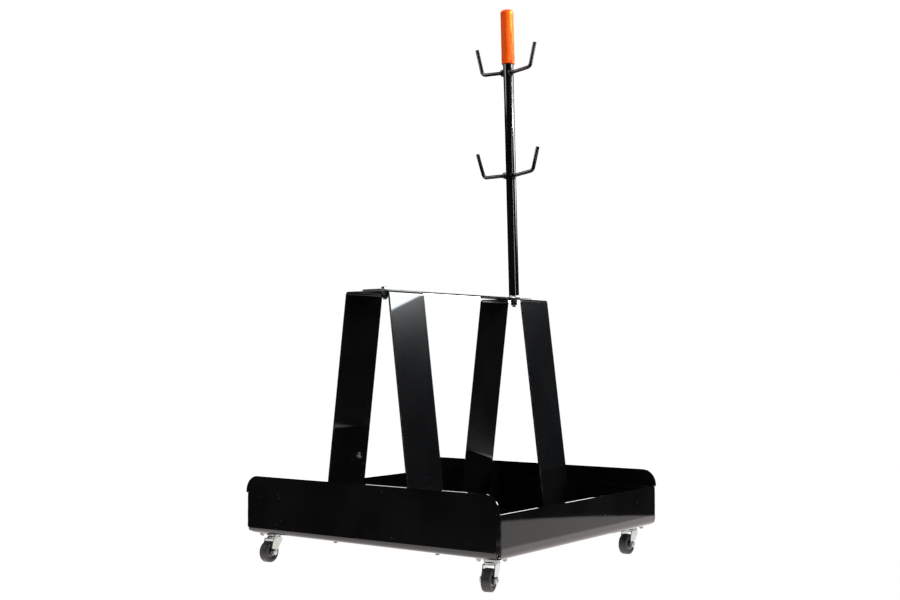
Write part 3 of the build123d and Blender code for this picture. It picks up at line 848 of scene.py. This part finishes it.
def thread(radius, pitch, low, high, steps=48):
    """A threaded end: the radius follows a triangle wave wound once per pitch."""
    angle = np.linspace(0.0, 2 * np.pi, steps, endpoint=False)
    height = np.arange(low, high, pitch / 8)
    phase = (height[:, None] / pitch - angle[None, :] / (2 * np.pi)) % 1.0
    crest = 1 - np.abs(2 * phase - 1)
    taper = np.clip((height - low) / (0.6 * pitch), 0.0, 1.0)[:, None]
    body = radius - 0.55 * pitch * (1 - crest) - 0.3 * pitch * (1 - taper)
    tip = np.zeros((1, steps))
    radius = np.concatenate([tip, body[:1] * 0.97, body, tip])
    height = np.concatenate([[low], [low], height, [height[-1]]])
    return sheet_of(spun_radii(radius, height, angle), wrap_columns=True)


def washer(size, low, high):
    """A flat ring with soft rims, wide enough for its bolt."""
    thick, inner = high - low, size["radius"] * 1.05
    soft = thick * 0.3
    out, up = quarter(size["washer"] - soft, high - soft, soft, 90, 0)
    under, down = quarter(size["washer"] - soft, low + soft, soft, 0, -90)
    radii = np.concatenate([[inner], out, under, [inner]])
    heights = np.concatenate([[high], up, down, [low]])
    return sheet_of(turned(radii, heights), wrap_rows=True, wrap_columns=True)


def pan_head(radius, low, high):
    """A low domed screw head with a flat crown."""
    out, up = quarter(radius - (high - low), low, high - low, 0, 90, steps=10)
    closed = np.concatenate([[0], out, [0]]), np.concatenate([[low], up, [high]])
    return sheet_of(turned(*closed), wrap_columns=True)


def at_places(sheet, places):
    """The same sheet at several places."""
    flat, faces = sheet
    return [(moved(flat, place), faces) for place in places]


def zinc_piece(name, sheets, node, body=STAND):
    """A piece in bright zinc that stands for one node."""
    return piece_from(name, sheets, BOLT_ZINC, [node], body)


# %% The clamped joints on top
CLAMP_BOLT_LOW, CLAMP_BOLT_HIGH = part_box("frame_bolt")
CLAMP_NUT_LOW, CLAMP_NUT_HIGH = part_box("frame_nut")
STUD_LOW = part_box("pole_stud")[0]
HEAD = 6.6 * MM


def bolt_end(size, low, high):
    """The thread that shows past a nut."""
    return thread(size["radius"], size["pitch"], low, high)


near = [(0, FRAME_Y["near"], 0)]
far = [(0, FRAME_Y["far"], 0)]
head = hexagon(M10["across"], CLAMP_BOLT_HIGH.z - HEAD, CLAMP_BOLT_HIGH.z)
shank_end = bolt_end(M10, CLAMP_BOLT_LOW.z, CLAMP_NUT_LOW.z + 2 * MM)
zinc_piece("clamp_bolt", at_places(head, near) + at_places(shank_end, near), "frame_bolt")

nut = hexagon(M10["across"], CLAMP_NUT_LOW.z, CLAMP_NUT_HIGH.z, bore=M10["radius"])
zinc_piece("clamp_nut", at_places(nut, near), "frame_nut")
zinc_piece("pole_nut", at_places(nut, far), "stud_nut")

below = washer(M10, CLAMP_NUT_HIGH.z, CLAMP_NUT_HIGH.z + WASHER)
above = washer(M10, BAR_HIGH.z, BAR_HIGH.z + WASHER)
zinc_piece("clamp_washers", at_places(below, near) + at_places(above, near), "frame_washers")
zinc_piece("pole_washer", at_places(below, far), "stud_washer")

stud = bolt_end(M10, STUD_LOW.z, CLAMP_NUT_LOW.z + 2 * MM)
zinc_piece("pole_stud_thread", at_places(stud, far), "pole_stud")

# %% Bolts through the feet and screws through the caster plates
FOOT_LOW, FOOT_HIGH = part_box("foot_bolts")
FOOT_X = FOOT_HIGH.x - M10["across"] / math.sqrt(3)
FOOT_PLACES = [(x, y, 0) for x in (-FOOT_X, FOOT_X) for y in FRAME_Y.values()]
FOOT_TOP = FLOOR_TOP + STRIP
FOOT_NUT_TOP = TRAY_LOW.z - WASHER
M10_NUT = 8 * MM

head = hexagon(M10["across"], FOOT_HIGH.z - HEAD, FOOT_HIGH.z)
end = bolt_end(M10, FOOT_LOW.z, FOOT_NUT_TOP - M10_NUT + 2 * MM)
zinc_piece("foot_bolt_set", at_places(head, FOOT_PLACES) + at_places(end, FOOT_PLACES), "foot_bolts")
nut = hexagon(M10["across"], FOOT_NUT_TOP - M10_NUT, FOOT_NUT_TOP, bore=M10["radius"])
zinc_piece("foot_nut_set", at_places(nut, FOOT_PLACES), "foot_nuts")
rings = at_places(washer(M10, FOOT_TOP, FOOT_TOP + WASHER), FOOT_PLACES)
rings += at_places(washer(M10, FOOT_NUT_TOP, TRAY_LOW.z), FOOT_PLACES)
zinc_piece("foot_washer_set", rings, "foot_washers")

PLATE_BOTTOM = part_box("caster_nuts")[1].z
SCREW_LOW, SCREW_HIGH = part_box("caster_screws")
M6_NUT = PLATE_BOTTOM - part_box("caster_nuts")[0].z
SCREW_SPACING = (45 * MM, 33 * MM)
SWIVELS = {joint["child"].split("_")[0]: joint for joint in frame["joints"] if "swivel" in joint["name"]}
ROLLS = {joint["child"].split("_")[0]: joint for joint in frame["joints"] if "roll" in joint["name"]}
OFFSETS = [(x * SCREW_SPACING[0] / 2, y * SCREW_SPACING[1] / 2) for x in (-1, 1) for y in (-1, 1)]
SWIVEL_PLACES = [SWIVELS[name]["pos_m"] for name in CASTERS]
SCREW_PLACES = [(place[0] + dx, place[1] + dy, 0) for place in SWIVEL_PLACES for dx, dy in OFFSETS]

head = pan_head(5.5 * MM, FLOOR_TOP, SCREW_HIGH.z)
end = bolt_end(M6, SCREW_LOW.z, PLATE_BOTTOM - M6_NUT + 1 * MM)
zinc_piece("caster_screw_set", at_places(head, SCREW_PLACES) + at_places(end, SCREW_PLACES), "caster_screws")
nut = hexagon(M6["across"], PLATE_BOTTOM - M6_NUT, PLATE_BOTTOM, bore=M6["radius"], steps=36)
zinc_piece("caster_nut_set", at_places(nut, SCREW_PLACES), "caster_nuts")

# %% [markdown]
# ## The pole and its foot
#
# The pole is a plain tube, turned about its own axis, and it leans a little towards -X:
# one rotation about the middle of its foot. The same rotation carries the hooks and the
# grip. At the foot a fillet weld flares out on to the bar. The weld's profile is hollow,
# a quarter circle that leaves the tube straight down and meets the bar flat, and small
# puddles run round it. The weld is gloss black like the pole, but here it is given a
# bright metal colour instead: a painted reflection of the glare on its black paint.

# %% Pole and foot weld
POLE_Y = FRAME_Y["far"]
POLE_R = 14 * MM
POLE_TOP = 1418.5 * MM
POLE_LEAN = math.radians(1.42)
WELD_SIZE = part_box("pole_base_weld")[1].z - BAR_HIGH.z


def leaned(sheet):
    """A sheet tipped about the middle of the pole's foot, towards -X."""
    flat, faces = sheet
    foot = np.array([0.0, POLE_Y, BAR_HIGH.z])
    x, y, z = (flat - foot).T
    cosine, sine = math.cos(POLE_LEAN), math.sin(POLE_LEAN)
    return np.stack([x * cosine - z * sine, y, z * cosine + x * sine], -1) + foot, faces


def pole_surface():
    """A tube's outside, closed at both ends."""
    heights = np.linspace(BAR_HIGH.z + 0.4 * MM, POLE_TOP, 24)
    radii = np.full(24, POLE_R)
    closed = np.concatenate([[0], radii, [0]]), np.concatenate([heights[:1], heights, heights[-1:]])
    return leaned(sheet_of(moved(turned(*closed, steps=96), (0, POLE_Y, 0)), wrap_columns=True))


def foot_weld(steps=144):
    """A hollow quarter circle round the tube, with puddles that swell it in turn."""
    angle = np.linspace(0.0, 2 * np.pi, steps, endpoint=False)
    around = np.radians(np.linspace(0.0, 90.0, 13))[:, None]
    puddle = 1 + 0.05 * np.abs(np.sin(angle * 13)) + 0.04 * np.sin(angle * 3 + 1)
    size = WELD_SIZE * 0.9 * puddle
    radius = POLE_R + size * (1 - np.sin(around))
    height = BAR_HIGH.z + size * (1 - np.cos(around))
    tall = np.concatenate([np.full((1, steps), BAR_HIGH.z), height, height[-1:]])
    wide = np.concatenate([np.full((1, steps), POLE_R - MM), radius, np.full((1, steps), POLE_R - MM)])
    points = np.stack([wide * np.cos(angle), wide * np.sin(angle), tall], -1)
    return sheet_of(moved(points, (0, POLE_Y, 0)), wrap_rows=True, wrap_columns=True)


piece_from("pole", [pole_surface()], TUBE_PAINT, ["pole_tube"])
# The foot weld takes the bright colour that paints in its reflection of the light.
piece_from("pole_foot_weld", [foot_weld()], WELD_PAINTED_GLARE, ["pole_base_weld"], smooth=50)

# %% [markdown]
# ## The hooks
#
# Each hook is a length of round rod, bent up once near its outer end by hand, so no two
# are quite alike. The rods lie flush with the near flank of the tube, not on its axis.
# The rod is a circle carried along a path with one arc, and its tip is eased where the
# cut end was ground. Round each root sits a lump of weld: a sphere about the rod's cut
# end that is drawn out along the rod, uneven all round.

# %% Bend the rods
ROD_R = 5 * MM
ROD_START = 13 * MM
HOOK_BEND_R = 13 * MM
HOOK_Y = POLE_Y - (POLE_R - ROD_R)
HOOKS = {
    "upper_left": (-1, 1253.0, 78.0, 4.2, 13.0, 73.5),
    "upper_right": (1, 1249.5, 75.0, 6.2, 15.3, 65.5),
    "lower_left": (-1, 975.3, 81.0, 1.6, 16.7, 69.5),
    "lower_right": (1, 971.5, 75.0, 6.5, 16.0, 64.0),
}


def hook_corners(side, height, reach, rise, lean, tip):
    """The rod's middle line: beside the tube, at the bend, at the tip."""
    climb = math.tan(math.radians(rise))
    bend = height + reach * climb
    tip_x = reach + tip * math.sin(math.radians(lean))
    tip_z = bend + tip * math.cos(math.radians(lean))
    start = ROD_START / MM
    places = ((start, height + start * climb), (reach, bend), (tip_x, tip_z))
    return np.array([[side * x * MM, HOOK_Y, z * MM] for x, z in places])


def hook_rod(*bends):
    """A circle carried along the bent path, its end eased."""
    path = bent_path(hook_corners(*bends), HOOK_BEND_R, steps=14, margin=0.002)
    path, sizes = eased(path, 2 * ROD_R, 2 * ROD_R, 0.9 * MM, 0.9 * MM)
    return leaned(capped(carried(circle(ROD_R, 40), path, (0, 1, 0), sizes)))


def hook_root(seed, *bends):
    """A lump of weld: a ball round the rod's end, drawn out, and uneven all round."""
    corners = hook_corners(*bends)
    along = unit(corners[1] - corners[0])
    reach = np.linspace(-8.2, 10.5, 22) * MM
    ball = np.sqrt(np.clip((9.2 * MM) ** 2 - reach**2, (1.0 * MM) ** 2, None))
    neck = ROD_R * (1.02 + 0.5 * np.clip(1 - (reach - 2 * MM) / (8 * MM), 0.0, 1.0) ** 2)
    radius = np.where(reach > 4 * MM, np.maximum(neck, ball * 0.72), ball)
    radius[-1] = ROD_R * 1.01
    path = corners[0] + reach[:, None] * along
    angle = np.linspace(0.0, 2 * np.pi, 48, endpoint=False)
    wave = np.sin(4 * angle[None, :] + seed + 300 * reach[:, None]) * 0.05
    wave = wave + np.sin(7 * angle[None, :] - 2 * seed - 500 * reach[:, None]) * 0.035
    fade = np.clip((10.5 * MM - reach) / (6 * MM), 0.0, 1.0)[:, None]
    points = carried(circle(ROD_R, 48), path, (0, 1, 0), np.stack([radius, radius], -1) / ROD_R)
    points = path[:, None] + (points - path[:, None]) * (1 + wave * fade)[..., None]
    return leaned(capped(points))


roots = []
for name, bends in HOOKS.items():
    piece_from(f"hook_{name}_rod", [hook_rod(*bends)], TUBE_PAINT, [f"hook_{name}"])
    roots.append(hook_root(len(roots) + 1.0, *bends))
piece_from("hook_root_welds", roots, WELD_PAINT, ["hook_welds"], smooth=60)

# %% [markdown]
# ## The grip
#
# The grip is a moulded sleeve pushed over the pole's top. From below it has a plain
# collar, then fine rings, then a domed end. All of that is one profile: the radius at
# each height. The sleeve was stretched as it went on, so its radius also swells and
# falls a little, very slowly, along and around it.

# %% Mould the grip
GRIP_LOW, GRIP_HIGH = 1277.5 * MM, 1425.5 * MM
GRIP_R = 18 * MM
DOME_R = 9 * MM
COLLAR = 18 * MM
RIB_PITCH = 3.6 * MM
RIB_DEPTH = 0.45 * MM
LIP_R = 1.2 * MM


def grip_profile():
    """Radii and heights from the rim at the bottom up to the middle of the dome."""
    lip, lip_up = quarter(GRIP_R - LIP_R, GRIP_LOW + LIP_R, LIP_R, -90, 0)
    height = np.arange(GRIP_LOW + LIP_R, GRIP_HIGH - DOME_R, 0.3 * MM)[1:]
    climb = height - GRIP_LOW - COLLAR
    left = GRIP_HIGH - DOME_R - height
    fade = np.clip(climb / (2 * RIB_PITCH), 0.0, 1.0) * np.clip(left / RIB_PITCH, 0.0, 1.0)
    groove = (0.5 - 0.5 * np.cos(2 * np.pi * climb / RIB_PITCH)) ** 1.5
    body = GRIP_R - 0.15 * MM - RIB_DEPTH * groove * fade
    dome, dome_up = quarter(GRIP_R - 0.15 * MM - DOME_R, GRIP_HIGH - DOME_R, DOME_R, 0, 90, steps=12)
    radii = np.concatenate([[POLE_R - MM], lip, body, dome, [0]])
    return radii, np.concatenate([[GRIP_LOW], lip_up, height, dome_up, [GRIP_HIGH]])


def grip_surface(steps=96):
    """The profile spun round, with a slow swell along and around it."""
    radii, heights = grip_profile()
    angle = np.linspace(0.0, 2 * np.pi, steps, endpoint=False)
    swell = 0.12 * MM * np.sin(heights[:, None] * 70 + 0.8) * (1 + 0.5 * np.sin(2 * angle + 0.4))
    radius = np.clip(radii[:, None] - np.abs(swell), 0.0, None) * (radii[:, None] > 0)
    points = spun_radii(radius, heights, angle)
    return leaned(sheet_of(moved(points, (0, POLE_Y, 0)), wrap_columns=True))


piece_from("grip_sleeve", [grip_surface()], GRIP_VINYL, ["grip"], smooth=60)

# %% [markdown]
# ## The casters
#
# A caster has a plate screwed under the tray, a ring of loose balls, a fork that
# swivels on a rivet, and a wheel on an axle bolt. The pressed plate and fork keep the
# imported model's shape, because it is already exact: a merged copy gets its rims rounded
# by a Bevel. The wheel is turned. Each wheel's direction comes from its joint's axis,
# so every new part stands where its joint says and turns with it.

# %% Caster helpers
WHEEL_R = 25 * MM
WHEEL_HALF = 11 * MM
SHOULDER_R = 4.5 * MM
CORE_R = 15 * MM
FORK_OUTSIDE = 14.5 * MM
AXLE_HEAD = 4.6 * MM
AXLE_NUT = 6 * MM


def softened_copy(name, node, material, body, width, segments=2):
    """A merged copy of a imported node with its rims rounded."""
    mesh = frame["nodes"][node].data.copy()
    mesh.name = name
    shape = bmesh.new()
    shape.from_mesh(mesh)
    bmesh.ops.remove_doubles(shape, verts=shape.verts, dist=0.00001)
    bmesh.ops.dissolve_limit(shape, angle_limit=math.radians(1), verts=shape.verts, edges=shape.edges)
    shape.to_mesh(mesh)
    shape.free()
    mesh.shade_smooth()
    mesh.set_sharp_from_angle(angle=math.radians(35))
    piece = add_piece(name, mesh, material, body, [node])
    return soften(piece, width, segments)


def on_axle(sheet, caster):
    """A shape turned about +Z laid along the caster's axle, at the wheel's centre."""
    flat, faces = sheet
    axle = np.array(ROLLS[caster]["axis"])
    across = np.cross((0, 0, 1), axle)
    laid = flat[:, 2:] * axle + flat[:, :1] * across + flat[:, 1:2] * np.array([0, 0, 1])
    return laid + np.array(ROLLS[caster]["pos_m"]), faces


def tyre_profile():
    """Round shoulders, a barely crowned tread, and a flat wall down to the core."""
    crown = np.linspace(-1.0, 1.0, 9)
    tread = WHEEL_R - 0.12 * MM * crown**2
    tread_z = crown * (WHEEL_HALF - SHOULDER_R)
    out, up = quarter(WHEEL_R - 0.12 * MM - SHOULDER_R, WHEEL_HALF - SHOULDER_R, SHOULDER_R, 0, 90, steps=8)
    step_r = np.array([CORE_R + 1.2 * MM, CORE_R + 0.6 * MM, CORE_R])
    step_z = np.array([WHEEL_HALF, WHEEL_HALF - 0.3 * MM, WHEEL_HALF - 1.5 * MM])
    side_r = np.concatenate([out[1:], step_r])
    side_z = np.concatenate([up[1:], step_z])
    radii = np.concatenate([side_r[::-1], tread, side_r])
    return radii, np.concatenate([-side_z[::-1], tread_z, side_z])


def core_profile():
    """A dished face between the rim and the boss, and the boss out to the fork."""
    radius = np.array([4.05, 7.4, 8.0, 8.0, 9.0, 13.0, 14.2, 15.0]) * MM
    height = np.array([12.2, 12.2, 11.6, 8.6, 8.1, 8.1, 9.3, 9.5]) * MM
    radii = np.concatenate([radius[::-1], radius])
    return radii, np.concatenate([-height[::-1], height])


# %% Build every caster
for name in CASTERS:
    node = f"{name}_caster_"
    swivel, wheel = f"{name}_swivel", f"{name}_wheel"
    softened_copy(f"{name}_mounting_plate", node + "plate", CASTER_ZINC, STAND, 0.5 * MM)
    softened_copy(f"{name}_swivel_fork", node + "fork", CASTER_ZINC, swivel, 0.45 * MM)

    head = hexagon(AXLE["across"], -FORK_OUTSIDE - AXLE_HEAD, -FORK_OUTSIDE, steps=48, turn=np.pi / 6)
    low = FORK_OUTSIDE + AXLE_NUT - MM
    tip = thread(AXLE["radius"], AXLE["pitch"], -low - 2.5 * MM, -low + MM, steps=32)
    tip = (tip[0] * np.array([1, -1, -1]), tip[1])
    zinc_piece(f"{name}_axle", [on_axle(head, name), on_axle(tip, name)], node + "axle_bolt", swivel)

    nut_ends = FORK_OUTSIDE, FORK_OUTSIDE + AXLE_NUT
    nut = hexagon(AXLE["across"], *nut_ends, bore=AXLE["radius"], steps=48, turn=np.pi / 6)
    zinc_piece(f"{name}_axle_lock_nut", [on_axle(nut, name)], node + "axle_nut", swivel)

    tyre = sheet_of(turned(*tyre_profile(), steps=96), wrap_rows=True, wrap_columns=True)
    tread = [on_axle(tyre, name)]
    piece_from(f"{name}_rubber_tyre", tread, TYRE_RUBBER, [node + "tyre"], wheel)

    core = sheet_of(turned(*core_profile(), steps=72), wrap_rows=True, wrap_columns=True)
    middle = [on_axle(core, name)]
    hub = [node + "hub"]
    piece_from(f"{name}_wheel_core", middle, CORE_PLASTIC, hub, wheel, smooth=40)

    for part, material in (("kingpin", BOLT_ZINC), ("balls", BALL_STEEL)):
        data = frame["nodes"][node + part].data
        data.materials.clear()
        data.materials.append(material)

# %% [markdown]
# ## Floor and light
#
# Black gloss shows its surroundings, so the light is built for what the steel should
# reflect. The floor and the sky look plain white to the camera. In reflections the
# floor is a round pool of light a metre in radius, brighter on the side by the stand,
# and the room beyond it is nearly dark. One rolled panel behind puts the glare at the
# top of a leg, a tall narrow one draws the stripe down the pole, and a low wide one
# behind on the left lights the rims. A wide panel high on the right greys the side of
# the upper pole. A small lamp with a narrow spread is aimed at the grip, so that its
# right side glows more yellow than its left. Two panels fill from above and the left.

# %% Floor
FLOOR_HALF = 14.0


def seen_or_reflected(tree, seen, reflected):
    """One shader for what the camera sees and another for reflections and bounces."""
    path = tree.nodes.new("ShaderNodeLightPath")
    mix = tree.nodes.new("ShaderNodeMixShader")
    tree.links.new(path.outputs["Is Camera Ray"], mix.inputs[0])
    tree.links.new(reflected, mix.inputs[1])
    tree.links.new(seen, mix.inputs[2])
    return mix.outputs["Shader"]


def glow(tree, kind, color, strength):
    """A plain glowing shader."""
    node = tree.nodes.new(kind)
    node.inputs["Color"].default_value = (*color, 1.0)
    node.inputs["Strength"].default_value = strength
    return node


def ramp(tree, source, low, high, first, last):
    """The first value below low, the last above high, and a smooth step between."""
    node = tree.nodes.new("ShaderNodeMapRange")
    node.interpolation_type = "SMOOTHSTEP"
    for label, value in (("From Min", low), ("From Max", high), ("To Min", first), ("To Max", last)):
        node.inputs[label].default_value = value
    tree.links.new(source, node.inputs["Value"])
    return node.outputs["Result"]


def floor_material():
    """White when seen; reflected, a round lit pool, brighter on the side by the stand."""
    material = bpy.data.materials.new("pale_floor")
    material.use_nodes = True
    tree = material.node_tree
    tree.nodes.clear()
    seen = glow(tree, "ShaderNodeEmission", (1, 1, 1), 1.0)
    place = tree.nodes.new("ShaderNodeTexCoord").outputs["Object"]
    offset = tree.nodes.new("ShaderNodeVectorMath")
    offset.operation = "DISTANCE"
    offset.inputs[1].default_value = (0.12, 0.2, 0.0)
    tree.links.new(place, offset.inputs[0])
    split = tree.nodes.new("ShaderNodeSeparateXYZ")
    tree.links.new(place, split.inputs["Vector"])
    pool = ramp(tree, offset.outputs["Value"], 0.95, 1.01, 1.0, 0.01)
    step = ramp(tree, split.outputs["X"], 0.70, 0.72, 1.9, 0.95)
    product = tree.nodes.new("ShaderNodeMath")
    product.operation = "MULTIPLY"
    tree.links.new(pool, product.inputs[0])
    tree.links.new(step, product.inputs[1])
    lit = glow(tree, "ShaderNodeEmission", (0.97, 0.915, 0.89), 1.0)
    tree.links.new(product.outputs["Value"], lit.inputs["Strength"])
    out = tree.nodes.new("ShaderNodeOutputMaterial")
    surface = seen_or_reflected(tree, seen.outputs["Emission"], lit.outputs["Emission"])
    tree.links.new(surface, out.inputs["Surface"])
    return material


floor_mesh = bpy.data.meshes.new("floor")
turns = ((-1, -1), (1, -1), (1, 1), (-1, 1))
corners = [(FLOOR_HALF * x, FLOOR_HALF * y, 0) for x, y in turns]
floor_mesh.from_pydata(corners, [], [(0, 1, 2, 3)])
floor_mesh.materials.append(floor_material())
floor = bpy.data.objects.new("floor", floor_mesh)
bpy.context.scene.collection.objects.link(floor)

# %% World and lamps
world = bpy.data.worlds.new("studio")
bpy.context.scene.world = world
world.use_nodes = True
sky = world.node_tree
sky.nodes.clear()
bright = glow(sky, "ShaderNodeBackground", (1, 1, 1), 1.0)
dim = glow(sky, "ShaderNodeBackground", (0.8, 0.9, 1.0), 0.03)
sky_out = sky.nodes.new("ShaderNodeOutputWorld")
sky_light = seen_or_reflected(sky, bright.outputs["Background"], dim.outputs["Background"])
sky.links.new(sky_light, sky_out.inputs["Surface"])
bpy.context.scene.view_settings.view_transform = "Standard"


def soft_panel(name, place, target, width, height, watts, color=(1, 1, 1), roll=0.0):
    """A rectangular lamp at a place, facing a target and rolled, that the camera doesn't see."""
    data = bpy.data.lights.new(name, "AREA")
    data.shape = "RECTANGLE"
    data.size, data.size_y = width, height
    data.energy = watts
    data.color = color
    lamp = bpy.data.objects.new(name, data)
    aim = (Vector(target) - Vector(place)).to_track_quat("-Z", "Y")
    spin = Matrix.Rotation(math.radians(roll), 4, "Z")
    lamp.matrix_world = Matrix.Translation(place) @ aim.to_matrix().to_4x4() @ spin
    lamp.visible_camera = False
    bpy.context.scene.collection.objects.link(lamp)
    return lamp


LEG_TOP = (0.07, -0.27, 0.62)
PALE_BLUE = (0.92, 0.96, 1.0)
soft_panel("leg_glare_panel", (1.25, 1.42, 1.42), LEG_TOP, 0.8, 0.7, 26, PALE_BLUE, roll=15)
soft_panel("pole_stripe_panel", (2.9, -0.75, 1.0), (0.0, 0.27, 1.0), 0.22, 1.5, 16)
soft_panel("back_left_panel", (-1.9, 2.6, 0.95), (0.0, 0.0, 0.5), 2.8, 1.9, 60)
soft_panel("right_panel", (2.0, 1.0, 2.45), (0.0, 0.26, 1.3), 2.4, 2.0, 30)
grip_lamp = soft_panel("grip_lamp", (1.6, 0.85, 1.6), (-0.02, 0.265, 1.36), 0.25, 0.25, 0.7)
grip_lamp.data.spread = math.radians(12)
soft_panel("top_panel", (-0.3, -0.4, 3.6), (0, 0, 0.3), 2.0, 2.0, 60)
soft_panel("front_left_panel", (-2.2, -2.2, 2.4), (0, 0, 0.6), 1.2, 1.2, 36)
